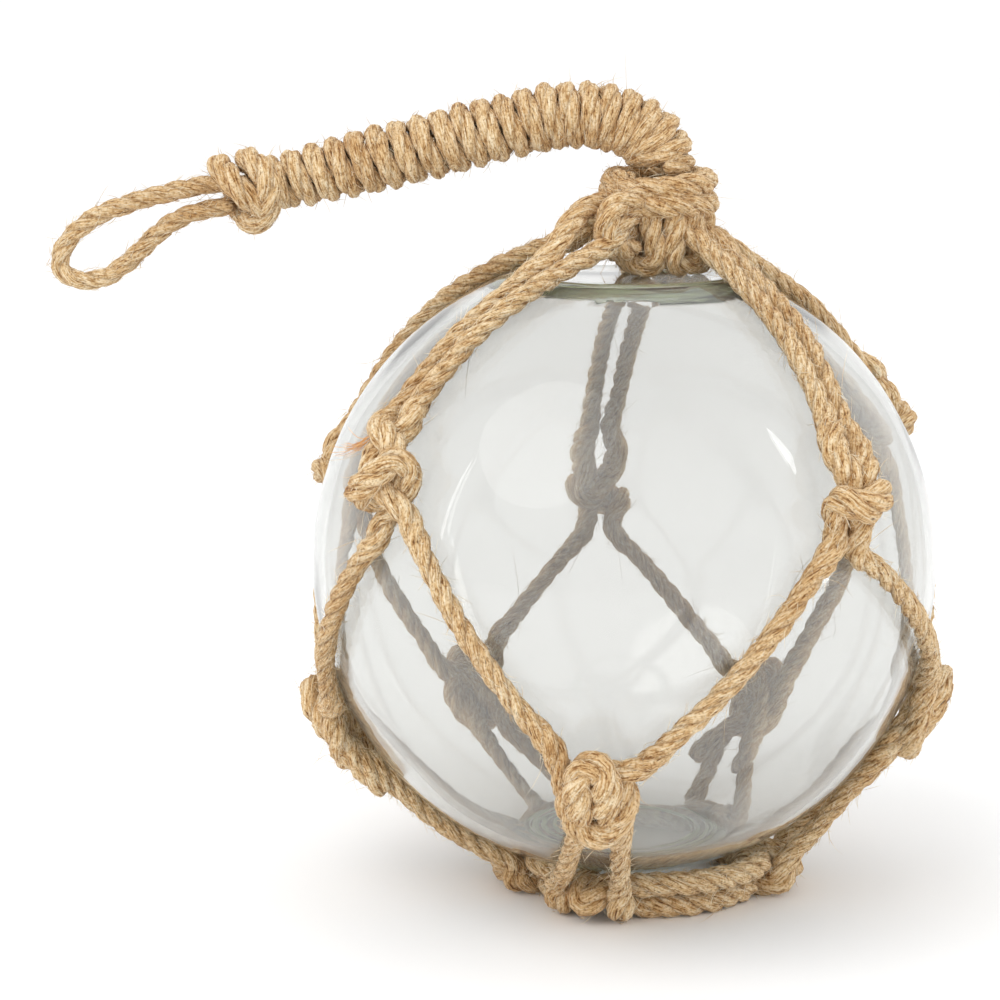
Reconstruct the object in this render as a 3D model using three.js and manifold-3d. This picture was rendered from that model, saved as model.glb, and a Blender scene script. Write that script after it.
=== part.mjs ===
// A glass float ball in a knotted rope net, with a whipped rope handle that ends in a hanging loop.
// Millimetres, +Z up. The origin is on the floor, under the middle of the ball and its net. The
// handle bends over towards -X, and the front of the net faces -Y. Longitudes turn from the front
// towards +X.
import * as THREE from 'three';
import { mergeVertices } from 'three/addons/utils/BufferGeometryUtils.js';
import Module from 'manifold-3d';

const wasm = await Module();
wasm.setup();

// The net reaches further out behind the ball's axis than in front of it. All the places below are
// measured from the axis, and the whole object then stands this far forward of the origin.
const AXIS_FORWARD = 4.4;

// The glass ball: a sphere cut flat at the sealed top and at the base it was blown on.
const BALL_RADIUS = 100;
const BALL_CENTRE = new THREE.Vector3(0, 0, 108);
const TOP_DISC_RADIUS = 37.6;
const BASE_DISC_RADIUS = 26;
const BALL_SECTORS = 40;
const BALL_BANDS = 18;

// The net's rope. It is pulled thin between the knots, and lies on the ball there.
const ROPE_RADIUS = 4;
const LEG_RADIUS = 3.25;
const ROPE_SIDES = 8;
const ROPE_STEP = 14;
const GAP = 0.3;
const LAID_RADIUS = BALL_RADIUS + GAP + LEG_RADIUS;

// The net's knots, as [longitude, latitude, lean] in degrees, where a knot leans with its top to the
// right, and the longitudes at which the pairs of rope for the upper knots leave the collar. Lower
// knot i hangs between upper knots i and i + 1.
const UPPER_KNOTS = [[-45, 23.5, 20], [42, 21.5, 0], [117.5, 26.5, 0], [185, 6, 0], [246, 14, 0]];
const GATHER_LONGITUDES = [-42, 57, 115, 181, 249];
const LOWER_KNOTS = [[-4.5, -29, 0], [88, -27, 0], [145, -37, 0], [217, -35, 0], [274, -30, 0]];
const KNOT_LENGTH = 30;
const KNOT_WIDTH = 22;
const KNOT_THICKNESS = 14.5;
const KNOT_TURNS = 3;
const PAIR_OFFSET = 4.4;
const PAIR_STANDOFF = 2.4;
const FORK_OFFSET = 5;
const FORK_STANDOFF = 4;
const SIDE_ENTRY_DROP = 9;
const SIDE_ENTRY_OFFSET = 7.5;

// The collar that gathers the net on top of the ball: two turns of rope round the gathered ends.
const COLLAR_CENTRE_X = 10.5;
const COLLAR_RADIUS = 19;
const COLLAR_TOP = 234;
const COLLAR_TURNS = 2;
const COLLAR_HEIGHT = 14.5;
const NECK_RADIUS = 13.5;
const NECK_BOTTOM = 204;
const GATHER_RADIUS = 19;
const GATHER_HEIGHT = 211.5;

// The ring of rope under the ball, which the float stands on, and the hitches that tie the net to it.
const RING_CENTRE_X = 8.5;
const RING_RADIUS = 35.5;
const RING_CENTRE_HEIGHT = 3.1;
const RING_SECTORS = 32;
const HITCH_OUTER_RADIUS = 8;
const HITCH_LENGTH = 22;
const HITCH_FOOT_CLEARANCE = 0.5;
const HITCH_OFFSET = 7;
const RING_STANDOFF = 9.5;
const RING_APPROACH_DEG = 35;
// The longitude of each hitch on the ring, in the order of the lower knots.
const HITCH_LONGITUDES = [-22, 88, 145, 217, 274];

// The handle: its route, the cord turns whipped round it, and where it narrows to its end knot.
const HANDLE_ROUTE = [
  [11, 234.6], [11, 238], [8.2, 243], [2.4, 247.2], [-5.8, 250], [-17.1, 250.8], [-40.4, 246.4],
  [-63.2, 240.6], [-88, 234.7], [-102.1, 231.2], [-110.4, 229.2],
];
const GRIP_RADIUS = 10.6;
const GRIP_END_RADIUS = 8.8;
const GRIP_TAPER_FROM = 0.78;
const GRIP_TURNS = 22;
const GRIP_SIDES = 12;
const END_KNOT_ROUTE = [[-110.9, 229.1], [-130.2, 225.8]];
const END_KNOT_RADIUS = 11.5;

// The hanging loop: one rope, out of the end knot and back into it.
const LOOP_ROUTE = [
  [-132, 228.7], [-138, 227.7], [-145, 226.1], [-152, 224.4], [-158.8, 222.4], [-165.3, 220],
  [-171.5, 216.6], [-176.8, 212.2], [-180.1, 207.3], [-180.7, 202.5], [-177.7, 199.1], [-172.3, 197.9],
  [-166, 199], [-160.3, 202.8], [-154.8, 207.6], [-149.2, 212.9], [-143.8, 216.9], [-138, 219.5], [-132, 220.9],
];
const LOOP_ROPE_RADIUS = 3.1;
const LOOP_STEP = 7;

const FINISHES = {
  glass: { color: 0xdfe7de, roughness: 0.04, metalness: 0 },
  rope: { color: 0xc6a376, roughness: 0.95, metalness: 0 },
  whipping: { color: 0xcba97b, roughness: 0.95, metalness: 0 },
};

const object = new THREE.Group();

/** Adds one sub-part to the object. */
function addPart(name, geometry, finish) {
  const mesh = new THREE.Mesh(geometry, new THREE.MeshStandardMaterial(FINISHES[finish]));
  mesh.name = name;
  object.add(mesh);
}

/** A point at a longitude and latitude (degrees) round the ball's centre. */
function roundBall(longitude, latitude, radius) {
  const lon = THREE.MathUtils.degToRad(longitude);
  const lat = THREE.MathUtils.degToRad(latitude);
  const level = radius * Math.cos(lat);
  return new THREE.Vector3(level * Math.sin(lon), -level * Math.cos(lon), radius * Math.sin(lat)).add(BALL_CENTRE);
}

/** The direction straight out of the ball at a point. */
function awayFromBall(point) {
  return point.clone().sub(BALL_CENTRE).normalize();
}

/** Three directions at a knot: out of the ball, down along the knot, and across to its right. */
function axesAt([longitude, latitude, lean]) {
  const out = awayFromBall(roundBall(longitude, latitude, BALL_RADIUS));
  const meridian = awayFromBall(roundBall(longitude, latitude - 90, BALL_RADIUS));
  const down = meridian.applyAxisAngle(out, THREE.MathUtils.degToRad(-lean));
  return { out, down, across: out.clone().cross(down) };
}

/** A point on the laid rope's sphere, `along` mm down and `beside` mm across from a knot's middle. */
function nearKnot(knot, along, beside) {
  const { out, down, across } = axesAt(knot);
  const offset = out.clone().multiplyScalar(LAID_RADIUS);
  offset.addScaledVector(down, along).addScaledVector(across, beside).setLength(LAID_RADIUS);
  return offset.add(BALL_CENTRE);
}

/** The way of a taut rope between two points: straight where it is clear of the ball, else round it. */
class TautPath extends THREE.Curve {
  constructor(start, end) {
    super();
    const from = start.clone().sub(BALL_CENTRE);
    const to = end.clone().sub(BALL_CENTRE);
    this.from = from.clone().normalize();
    this.axis = from.clone().cross(to).normalize();
    this.sweep = from.angleTo(to);
    this.freeAtStart = Math.acos(Math.min(1, LAID_RADIUS / from.length()));
    this.freeAtEnd = Math.acos(Math.min(1, LAID_RADIUS / to.length()));
  }

  getPoint(t, target = new THREE.Vector3()) {
    const angle = this.sweep * t;
    const offBall = Math.max(0, this.freeAtStart - angle, angle - this.sweep + this.freeAtEnd);
    const radius = LAID_RADIUS / Math.cos(offBall);
    return target.copy(this.from).applyAxisAngle(this.axis, angle).multiplyScalar(radius).add(BALL_CENTRE);
  }
}

/** A smooth route in the XZ plane through [x, z] points. */
function uprightRoute(points) {
  return new THREE.CatmullRomCurve3(points.map(([x, z]) => new THREE.Vector3(x, 0, z)));
}

/** Lays a shape that stands from z = 0 to z = 1 along a curve. Its +Y side faces the way `sideAt` gives. */
function bendAlong(geometry, curve, sideAt) {
  const positions = geometry.getAttribute('position');
  const point = new THREE.Vector3();
  for (let i = 0; i < positions.count; i += 1) {
    point.fromBufferAttribute(positions, i);
    const centre = curve.getPointAt(THREE.MathUtils.clamp(point.z, 0, 1));
    const along = curve.getTangentAt(THREE.MathUtils.clamp(point.z, 0, 1));
    const side = sideAt(centre).clone();
    side.addScaledVector(along, -side.dot(along)).normalize();
    const across = side.clone().cross(along);
    centre.addScaledVector(across, point.x).addScaledVector(side, point.y);
    positions.setXYZ(i, centre.x, centre.y, centre.z);
  }
  return geometry;
}

/** A plain length of rope along a curve. */
function rope(curve, radius, sideAt, step) {
  const steps = Math.ceil(curve.getLength() / step);
  const rod = new THREE.CylinderGeometry(radius, radius, 1, ROPE_SIDES, steps);
  rod.rotateX(Math.PI / 2).translate(0, 0, 0.5);
  return bendAlong(rod, curve, sideAt);
}

/** Rope turns lying side by side, as one closed solid from z = 0 to z = 1. */
function ropeTurns(turns, radius, turnDepth, samples, sides) {
  const profile = [new THREE.Vector2(0, 0)];
  for (let turn = 0; turn < turns; turn += 1) {
    for (let sample = turn === 0 ? 0 : 1; sample <= samples; sample += 1) {
      const angle = (Math.PI * sample) / samples;
      const outward = radius - turnDepth * (1 - Math.sin(angle));
      profile.push(new THREE.Vector2(outward, (turn + 0.5 - 0.5 * Math.cos(angle)) / turns));
    }
  }
  profile.push(new THREE.Vector2(0, 1));
  return new THREE.LatheGeometry(profile, sides).rotateX(Math.PI / 2);
}

/** The solid glass ball, with its flat sealed top and its flat base. */
function makeBall() {
  const topAngle = Math.acos(TOP_DISC_RADIUS / BALL_RADIUS);
  const baseAngle = -Math.acos(BASE_DISC_RADIUS / BALL_RADIUS);
  const profile = [];
  for (let band = 0; band <= BALL_BANDS; band += 1) {
    const angle = baseAngle + ((topAngle - baseAngle) * band) / BALL_BANDS;
    profile.push(new THREE.Vector2(BALL_RADIUS * Math.cos(angle), BALL_RADIUS * Math.sin(angle)));
  }
  profile.unshift(new THREE.Vector2(0, profile[0].y));
  profile.push(new THREE.Vector2(0, profile[profile.length - 1].y));
  const ball = new THREE.LatheGeometry(profile, BALL_SECTORS).rotateX(Math.PI / 2);
  ball.translate(0, 0, BALL_CENTRE.z);
  addPart('glass_ball', ball, 'glass');
}

/** One knot of the net, flattened against the ball. */
function makeKnot(name, knot) {
  const body = ropeTurns(KNOT_TURNS, 1, 0.22, 3, 8);
  body.scale(KNOT_WIDTH / 2, KNOT_THICKNESS / 2, 1);
  const [longitude, latitude] = knot;
  const middle = roundBall(longitude, latitude, BALL_RADIUS + GAP + KNOT_THICKNESS / 2);
  const half = axesAt(knot).down.multiplyScalar(KNOT_LENGTH / 2);
  const line = new THREE.LineCurve3(middle.clone().sub(half), middle.clone().add(half));
  addPart(name, bendAlong(body, line, awayFromBall), 'rope');
}

/** The pair of ropes from the collar down to one upper knot. */
function makeUpperLegs(number, knot, gatherLongitude) {
  const lon = THREE.MathUtils.degToRad(gatherLongitude);
  const outward = new THREE.Vector3(Math.sin(lon), -Math.cos(lon), 0);
  const across = new THREE.Vector3(Math.cos(lon), Math.sin(lon), 0);
  ['a', 'b'].forEach((letter, side) => {
    const beside = side === 0 ? -PAIR_OFFSET : PAIR_OFFSET;
    const top = new THREE.Vector3(COLLAR_CENTRE_X, 0, GATHER_HEIGHT);
    top.addScaledVector(outward, GATHER_RADIUS).addScaledVector(across, beside);
    const bottom = nearKnot(knot, -KNOT_LENGTH / 2 - PAIR_STANDOFF, beside);
    const leg = rope(new TautPath(top, bottom), LEG_RADIUS, awayFromBall, ROPE_STEP);
    addPart(`upper_leg_${number}${letter}`, leg, 'rope');
  });
}

/** The two single ropes that come together at one lower knot from the upper knots on either side. */
function makeCrossLegs(number, knot, leftKnot, rightKnot) {
  const standoff = KNOT_LENGTH / 2 + FORK_STANDOFF;
  const sideEntry = nearKnot(knot, SIDE_ENTRY_DROP - standoff, FORK_OFFSET + SIDE_ENTRY_OFFSET);
  const topEntry = nearKnot(knot, -standoff, -FORK_OFFSET);
  [['a', leftKnot, 1, topEntry], ['b', rightKnot, -1, sideEntry]].forEach(([letter, upperKnot, side, bottom]) => {
    const top = nearKnot(upperKnot, standoff, side * FORK_OFFSET);
    const leg = rope(new TautPath(top, bottom), LEG_RADIUS, awayFromBall, ROPE_STEP);
    addPart(`cross_leg_${number}${letter}`, leg, 'rope');
  });
}

/** The pair of ropes from one lower knot to its hitch on the ring. */
function makeLowerLegs(number, knot, hitchLongitude) {
  const lon = THREE.MathUtils.degToRad(hitchLongitude);
  const approach = THREE.MathUtils.degToRad(RING_APPROACH_DEG);
  const outward = new THREE.Vector3(Math.sin(lon), -Math.cos(lon), 0);
  const across = new THREE.Vector3(Math.cos(lon), Math.sin(lon), 0);
  ['a', 'b'].forEach((letter, index) => {
    const side = index === 0 ? -1 : 1;
    const top = nearKnot(knot, KNOT_LENGTH / 2 + PAIR_STANDOFF, side * PAIR_OFFSET);
    const bottom = new THREE.Vector3(RING_CENTRE_X, 0, RING_CENTRE_HEIGHT + RING_STANDOFF * Math.sin(approach));
    bottom.addScaledVector(outward, RING_RADIUS + RING_STANDOFF * Math.cos(approach));
    bottom.addScaledVector(across, side * HITCH_OFFSET);
    const leg = rope(new TautPath(top, bottom), LEG_RADIUS, awayFromBall, ROPE_STEP);
    addPart(`lower_leg_${number}${letter}`, leg, 'rope');
  });
}

/** The collar: two turns of rope over the neck of gathered rope ends. */
function makeCollar() {
  const profile = [new THREE.Vector2(0, NECK_BOTTOM), new THREE.Vector2(NECK_RADIUS, NECK_BOTTOM)];
  const turnHeight = COLLAR_HEIGHT / COLLAR_TURNS;
  for (let turn = 0; turn < COLLAR_TURNS; turn += 1) {
    for (let sample = 0; sample <= 4; sample += 1) {
      const angle = (Math.PI * sample) / 4;
      const outward = COLLAR_RADIUS - ROPE_RADIUS * (1 - Math.sin(angle));
      const height = COLLAR_TOP - COLLAR_HEIGHT + turnHeight * (turn + 0.5 - 0.5 * Math.cos(angle));
      if (turn === 0 || sample > 0) profile.push(new THREE.Vector2(outward, height));
    }
  }
  profile.push(new THREE.Vector2(0, COLLAR_TOP));
  const collar = new THREE.LatheGeometry(profile, 20).rotateX(Math.PI / 2);
  addPart('top_collar', collar.translate(COLLAR_CENTRE_X, 0, 0), 'rope');
}

/** The part of a closed shape that lies above a height. */
function cutAbove(geometry, height) {
  const solidOf = (shape) => {
    shape.deleteAttribute('normal');
    shape.deleteAttribute('uv');
    const merged = mergeVertices(shape);
    const vertProperties = new Float32Array(merged.getAttribute('position').array);
    const triVerts = new Uint32Array(merged.getIndex().array);
    return new wasm.Manifold(new wasm.Mesh({ numProp: 3, vertProperties, triVerts }));
  };
  geometry.computeBoundingBox();
  const size = geometry.boundingBox.getSize(new THREE.Vector3()).multiplyScalar(2);
  const middle = geometry.boundingBox.getCenter(new THREE.Vector3());
  const below = new THREE.BoxGeometry(size.x, size.y, size.z).translate(middle.x, middle.y, height - size.z / 2);
  const cut = solidOf(geometry).subtract(solidOf(below)).getMesh();
  const result = new THREE.BufferGeometry();
  result.setAttribute('position', new THREE.BufferAttribute(new Float32Array(cut.vertProperties), 3));
  result.setIndex(new THREE.BufferAttribute(new Uint32Array(cut.triVerts), 1));
  return result;
}

/** The rope ring, pressed flat where it stands on the floor. */
function makeRing() {
  const ring = new THREE.TorusGeometry(RING_RADIUS, ROPE_RADIUS, ROPE_SIDES, RING_SECTORS);
  addPart('bottom_ring', cutAbove(ring.translate(RING_CENTRE_X, 0, RING_CENTRE_HEIGHT), 0), 'rope');
}

/** One hitch of the net, folded over the ring from outside to inside and open below. */
function makeHitch(number, longitude) {
  const open = Math.asin((RING_CENTRE_HEIGHT - HITCH_FOOT_CLEARANCE) / HITCH_OUTER_RADIUS);
  const section = new THREE.Shape();
  section.absarc(0, 0, HITCH_OUTER_RADIUS, -open, Math.PI + open, false);
  section.absarc(0, 0, ROPE_RADIUS + GAP, Math.PI + open, -open, true);
  section.closePath();
  const sleeve = new THREE.ExtrudeGeometry(section, { depth: 1, steps: 3, curveSegments: 5, bevelEnabled: false });
  const middle = THREE.MathUtils.degToRad(longitude - 90);
  const half = HITCH_LENGTH / 2 / RING_RADIUS;
  const bend = new THREE.EllipseCurve(RING_CENTRE_X, 0, RING_RADIUS, RING_RADIUS, middle - half, middle + half);
  const arc = new THREE.CatmullRomCurve3(
    bend.getPoints(8).map(({ x, y }) => new THREE.Vector3(x, y, RING_CENTRE_HEIGHT)),
  );
  addPart(`bottom_hitch_${number}`, bendAlong(sleeve, arc, () => new THREE.Vector3(0, 0, 1)), 'rope');
}

/** The handle's grip: the handle rope whipped all along with cord, narrower at its far end. */
function makeGrip() {
  const grip = ropeTurns(GRIP_TURNS, GRIP_RADIUS, 1.5, 2, GRIP_SIDES);
  const positions = grip.getAttribute('position');
  for (let i = 0; i < positions.count; i += 1) {
    const narrowing = Math.max(0, (positions.getZ(i) - GRIP_TAPER_FROM) / (1 - GRIP_TAPER_FROM));
    const scale = THREE.MathUtils.lerp(1, GRIP_END_RADIUS / GRIP_RADIUS, narrowing);
    positions.setXY(i, positions.getX(i) * scale, positions.getY(i) * scale);
  }
  const route = uprightRoute(HANDLE_ROUTE);
  addPart('handle_grip', bendAlong(grip, route, () => new THREE.Vector3(0, 1, 0)), 'whipping');
}

/** The knot at the handle's far end and the hanging loop that comes out of it. */
function makeHandleEnd() {
  const front = () => new THREE.Vector3(0, 1, 0);
  const knot = ropeTurns(2, END_KNOT_RADIUS, 3, 4, GRIP_SIDES);
  addPart('handle_end_knot', bendAlong(knot, uprightRoute(END_KNOT_ROUTE), front), 'rope');
  addPart('hanging_loop', rope(uprightRoute(LOOP_ROUTE), LOOP_ROPE_RADIUS, front, LOOP_STEP), 'rope');
}

makeBall();
makeCollar();
UPPER_KNOTS.forEach((knot, i) => {
  makeKnot(`upper_knot_${i + 1}`, knot);
  makeUpperLegs(i + 1, knot, GATHER_LONGITUDES[i]);
});
LOWER_KNOTS.forEach((knot, i) => {
  makeKnot(`lower_knot_${i + 1}`, knot);
  makeCrossLegs(i + 1, knot, UPPER_KNOTS[i], UPPER_KNOTS[(i + 1) % UPPER_KNOTS.length]);
  makeLowerLegs(i + 1, knot, HITCH_LONGITUDES[i]);
  makeHitch(i + 1, HITCH_LONGITUDES[i]);
});
makeRing();
makeGrip();
makeHandleEnd();

object.position.y = -AXIS_FORWARD;

export default object;
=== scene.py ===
"""A clear glass float ball in a knotted jute net, with a whipped rope handle and a hanging loop.

Everything is in metres in the part's own frame: the floor is z = 0, the front faces -Y and the handle
bends over towards -X. Rope routes are written in millimetres and scaled by MM. The ball, the knots, the
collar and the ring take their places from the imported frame.
"""

import logging
import math
from dataclasses import dataclass, field
from enum import Enum
from typing import Sequence

import bmesh
import bpy
import numpy as np
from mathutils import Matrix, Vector, noise

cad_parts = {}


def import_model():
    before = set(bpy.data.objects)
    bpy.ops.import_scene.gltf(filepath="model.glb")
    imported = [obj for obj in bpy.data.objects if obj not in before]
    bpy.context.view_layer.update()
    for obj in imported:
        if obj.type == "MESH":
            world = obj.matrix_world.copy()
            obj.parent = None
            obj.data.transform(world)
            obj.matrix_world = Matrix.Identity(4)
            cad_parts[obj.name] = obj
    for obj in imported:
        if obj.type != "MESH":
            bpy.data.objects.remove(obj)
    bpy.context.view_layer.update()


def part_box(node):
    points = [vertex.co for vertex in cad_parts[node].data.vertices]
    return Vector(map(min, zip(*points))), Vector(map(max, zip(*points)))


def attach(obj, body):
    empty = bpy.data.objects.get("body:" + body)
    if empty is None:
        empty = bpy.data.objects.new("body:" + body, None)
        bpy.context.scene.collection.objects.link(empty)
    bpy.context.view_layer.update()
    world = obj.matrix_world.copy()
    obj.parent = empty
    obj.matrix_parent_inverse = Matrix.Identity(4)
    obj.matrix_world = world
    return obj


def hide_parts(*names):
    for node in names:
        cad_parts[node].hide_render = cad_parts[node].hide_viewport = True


LOG = logging.getLogger("glass_float")
MM = 0.001
BODY = "root"
FIBRE_MAP = "fibre"
DEPTH_LAYER = "depth"
WELD_DISTANCE = 1e-7
SAME_HEIGHT = 1e-7
SAME_PLACE = 1e-6
OUTER_CROWDING = 0.35
LINE_DETAIL = 6
HAIR_SEED = 500
FRONT = np.array([0.0, -1.0, 0.0])
WHITE = (1.0, 1.0, 1.0, 1.0)
# The first side of a rope's or a hair's line is taken square to one of these.
ROPE_CROSSWAY = np.array([0.31, 0.52, 0.79])
HAIR_CROSSWAY = np.array([0.41, 0.23, 0.88])

Mesh = bpy.types.Mesh
Drawing = bmesh.types.BMesh
Socket = bpy.types.NodeSocket
Finishes = Sequence[bpy.types.Material]
Route = Sequence[Sequence[float]]
Rows = list[list[float]]


# ---------------------------------------------------------------- small vector tools


def unit(rows: np.ndarray) -> np.ndarray:
    """Returns each row, or one vector, at length 1."""
    return rows / np.maximum(np.linalg.norm(rows, axis=-1, keepdims=True), 1e-12)


def clamped(share: float) -> float:
    """Returns a share, held between 0 and 1."""
    return min(1.0, max(0.0, share))


def steps_of(line: np.ndarray) -> np.ndarray:
    """Returns the distance between each row of a line and the next."""
    return np.linalg.norm(np.diff(line[:, :3], axis=0), axis=1)


def distances_along(line: np.ndarray) -> np.ndarray:
    """Returns each row's distance from the line's start."""
    return np.concatenate(([0.0], np.cumsum(steps_of(line))))


def middle_of(node: str) -> np.ndarray:
    """Returns the middle of a node's box in the frame."""
    low, high = (np.array(corner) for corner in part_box(node))
    return (low + high) / 2


def level_direction(longitude: float) -> np.ndarray:
    """Returns the level direction at a longitude in degrees, turned from the front (-Y) towards +X."""
    angle = math.radians(longitude)
    return np.array([math.sin(angle), -math.cos(angle), 0.0])


def turned(vector: np.ndarray, axis: np.ndarray, angle: float) -> np.ndarray:
    """Returns a vector turned about a unit axis.

    Args:
        vector: the vector to turn.
        axis: the unit axis.
        angle: the turn in radians, right-handed.

    Returns:
        The turned vector.
    """
    along = axis * np.dot(axis, vector)
    return along + (vector - along) * math.cos(angle) + np.cross(axis, vector) * math.sin(angle)


def smooth_line(points: Sequence[Sequence[float]], step: float) -> np.ndarray:
    """Draws one smooth line through points and cuts it into even steps.

    Args:
        points: rows of x, y, z and girth.
        step: the distance between the new points.

    Returns:
        The even rows of x, y, z and girth.
    """
    rows = np.asarray(points, dtype=float)
    spans, marks = steps_of(rows), distances_along(rows)
    slopes = np.gradient(rows, marks, axis=0)
    along = np.linspace(0.0, marks[-1], max(8, int(LINE_DETAIL * marks[-1] / step)))
    span = np.clip(np.searchsorted(marks, along, side="right") - 1, 0, len(spans) - 1)
    reach = spans[span][:, None]
    t = (along - marks[span])[:, None] / reach
    dense = (2 * t**3 - 3 * t**2 + 1) * rows[span] + (t**3 - 2 * t**2 + t) * reach * slopes[span]
    dense += (3 * t**2 - 2 * t**3) * rows[span + 1] + (t**3 - t**2) * reach * slopes[span + 1]
    run = distances_along(dense)
    even = np.linspace(0.0, run[-1], max(4, int(math.ceil(run[-1] / step)) + 1))
    return np.stack([np.interp(even, run, dense[:, column]) for column in range(4)], axis=1)


def carried_frame(line: np.ndarray) -> tuple[np.ndarray, np.ndarray, np.ndarray]:
    """Carries a pair of side directions along a line without twisting them.

    Args:
        line: rows that start with x, y and z.

    Returns:
        The heading, the first side and the second side at each row, with first x second = heading.
    """
    heading = unit(np.gradient(line[:, :3], axis=0))
    first = np.empty_like(heading)
    side = np.cross(heading[0], ROPE_CROSSWAY)
    for row, direction in enumerate(heading):
        side = unit(side - direction * np.dot(side, direction))
        first[row] = side
    return heading, first, np.cross(heading, first)


def wander(rng: np.random.Generator, count: int, spacing: int, amount: float) -> np.ndarray:
    """Returns a slow random drift: one value for each step, with a new aim every `spacing` steps."""
    aims = rng.normal(0.0, amount, count // spacing + 3)
    return np.interp(np.arange(count) / spacing, np.arange(len(aims)), aims)


# ---------------------------------------------------------------- tubes from flat grids


def equal_grids(count: int, rows: int, columns: int) -> Drawing:
    """Lays equal flat grids over each other, each with `rows` by `columns` points.

    Args:
        count: how many grids.
        rows: the points along a grid.
        columns: the points across it.

    Returns:
        The grids, with an empty fibre map.
    """
    bm = bmesh.new()
    bm.loops.layers.uv.new(FIBRE_MAP)
    bmesh.ops.create_grid(bm, x_segments=rows - 1, y_segments=columns - 1, size=1.0)
    sizes = (len(bm.verts), len(bm.edges), len(bm.faces))
    made = 1
    while made < count:
        more = min(made, count - made)
        copied = []
        for elements, size in zip((bm.verts, bm.edges, bm.faces), sizes):
            elements.ensure_lookup_table()
            copied += elements[: more * size]
        bmesh.ops.duplicate(bm, geom=copied)
        made += more
    return bm


@dataclass
class Tubes:
    """Equal tubes, ready to be wrapped: their points, fibre coordinates and depth in the rope."""

    points: np.ndarray
    fibre: np.ndarray
    depth: np.ndarray

    @classmethod
    def plain(cls, points: np.ndarray) -> "Tubes":
        """Returns tubes with these points, and with no fibre coordinates and no depth."""
        shape = points.shape[:3]
        return cls(points, np.zeros((*shape, 2)), np.zeros(shape))

    def wrapped(self, name: str) -> Mesh:
        """Wraps one flat grid for each tube round its points and closes it.

        Args:
            name: the mesh's name.

        Returns:
            The mesh of closed tubes.
        """
        count, rows, columns = self.points.shape[:3]
        mesh = as_mesh(name, equal_grids(count, rows, columns))
        flat = np.empty(3 * len(mesh.vertices))
        mesh.vertices.foreach_get("co", flat)
        cell = np.rint((flat.reshape(-1, 3)[:, :2] + 1.0) / 2.0 * (rows - 1, columns - 1)).astype(int)
        tube = np.arange(len(cell)) // (rows * columns)
        place = (tube, cell[:, 0], cell[:, 1])
        mesh.vertices.foreach_set("co", self.points[place].ravel())
        corners = np.empty(len(mesh.loops), dtype=np.int32)
        mesh.loops.foreach_get("vertex_index", corners)
        mesh.uv_layers[FIBRE_MAP].data.foreach_set("uv", self.fibre[place][corners].ravel())
        depth = mesh.attributes.new(DEPTH_LAYER, "FLOAT", "POINT")
        depth.data.foreach_set("value", self.depth[place].ravel())
        return mesh


def as_mesh(name: str, bm: Drawing) -> Mesh:
    """Puts what was drawn into a new mesh, and frees the drawing."""
    mesh = bpy.data.meshes.new(name)
    bm.to_mesh(mesh)
    bm.free()
    return mesh


def joined(name: str, groups: Sequence[Sequence[Mesh]]) -> Mesh:
    """Joins groups of meshes into one, group n taking material n, and welds each tube's seam and ends.

    Args:
        name: the new mesh's name.
        groups: the meshes for each material, which are used up.

    Returns:
        The joined mesh, smooth shaded.
    """
    bm = bmesh.new()
    for finish, meshes in enumerate(groups):
        before = len(bm.faces)
        for mesh in meshes:
            bm.from_mesh(mesh)
            bpy.data.meshes.remove(mesh)
        bm.faces.ensure_lookup_table()
        for face in bm.faces[before:]:
            face.material_index = finish
            face.smooth = True
    bmesh.ops.remove_doubles(bm, verts=bm.verts, dist=WELD_DISTANCE)
    return as_mesh(name, bm)


def ring_angles(sides: int) -> np.ndarray:
    """Returns a ring's angles with the seam given twice, closer together on its outer side."""
    even = np.linspace(-math.pi, math.pi, sides + 1)
    return even - OUTER_CROWDING * np.sin(even)


def ring_points(
    core: np.ndarray, first: np.ndarray, second: np.ndarray, radius: np.ndarray, sides: int
) -> np.ndarray:
    """Sets rings of points round a line, closed to a point at both ends.

    Args:
        core: the line's points.
        first: the side direction that the rings' middle column faces.
        second: the other side direction.
        radius: the rings' radii, one row for each point and one column for each side and the seam.
        sides: the sides of a ring.

    Returns:
        The rings, with the seam's column given twice.
    """
    around = ring_angles(sides)
    spoke = np.cos(around)[None, :, None] * first[:, None] - np.sin(around)[None, :, None] * second[:, None]
    rings = core[:, None] + radius[:, :, None] * spoke
    rings[:, -1] = rings[:, 0]
    rings[0] = core[0]
    rings[-1] = core[-1]
    return rings


def thread_points(line: np.ndarray, thick: np.ndarray, sides: int) -> np.ndarray:
    """Sets rings of points round a thread's line, each with a radius of its own."""
    _, first, second = carried_frame(line)
    return ring_points(line, first, second, np.repeat(thick[:, None], sides + 1, axis=1), sides)


# ---------------------------------------------------------------- rope


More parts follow.
